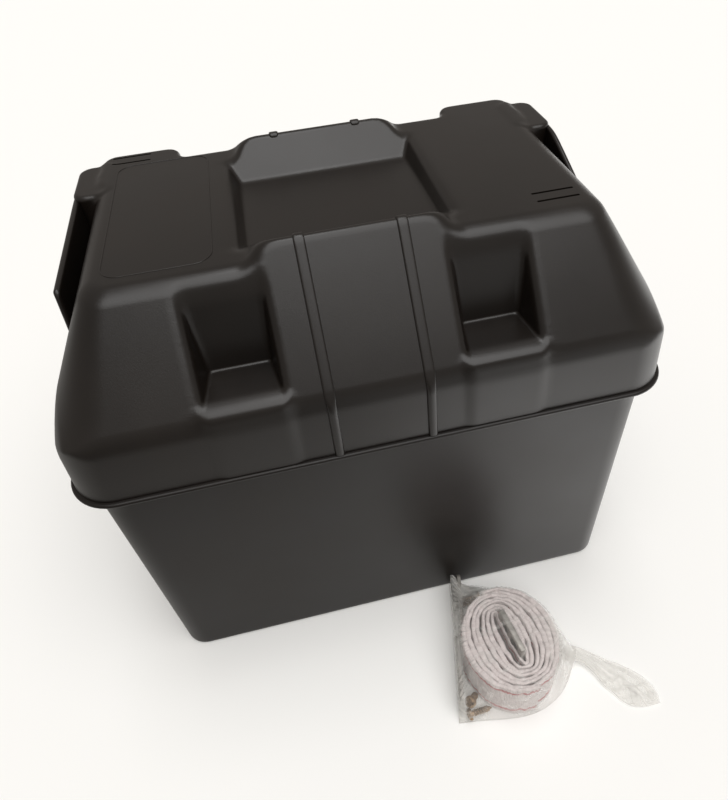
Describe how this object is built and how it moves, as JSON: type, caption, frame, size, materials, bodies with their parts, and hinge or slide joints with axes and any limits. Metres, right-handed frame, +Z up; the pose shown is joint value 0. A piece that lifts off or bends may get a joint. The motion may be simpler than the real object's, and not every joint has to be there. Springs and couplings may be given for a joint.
{
  "type": "battery box",
  "caption": "Moulded black battery box with a lift-off lid, standing free, with its rolled hold-down strap kit in a clear bag in front.",
  "frame": {"origin": "middle of the tub's underside, on the surface it stands on", "axes": "+Z up, +X along the box's length to the viewer's right, -Y to the front, where the kit lies"},
  "size_m": [0.3046, 0.304, 0.2624],
  "materials": {
    "tub_plastic": "satin moulded, fine grain",
    "lid_plastic": "satin moulded, fine grain",
    "webbing": "woven, with two red stitched lines",
    "buckle_steel": "dull zinc",
    "bracket_steel": "dull zinc",
    "screw_metal": "dull",
    "clear_film": "clear creased film"
  },
  "bodies": {
    "tub": {"box_body": "tub_plastic", "strap_webbing": "webbing", "strap_buckle": "buckle_steel", "bracket_upper": "bracket_steel", "bracket_lower": "bracket_steel", "bracket_screws": "screw_metal", "kit_bag": "clear_film"},
    "lid": {"lid": "lid_plastic"}
  },
  "joints": [
    {"name": "lid_lift", "type": "slide", "parent": "tub", "child": "lid", "axis": [0, 0, 1], "range_m": [0, 0.15]}
  ]
}
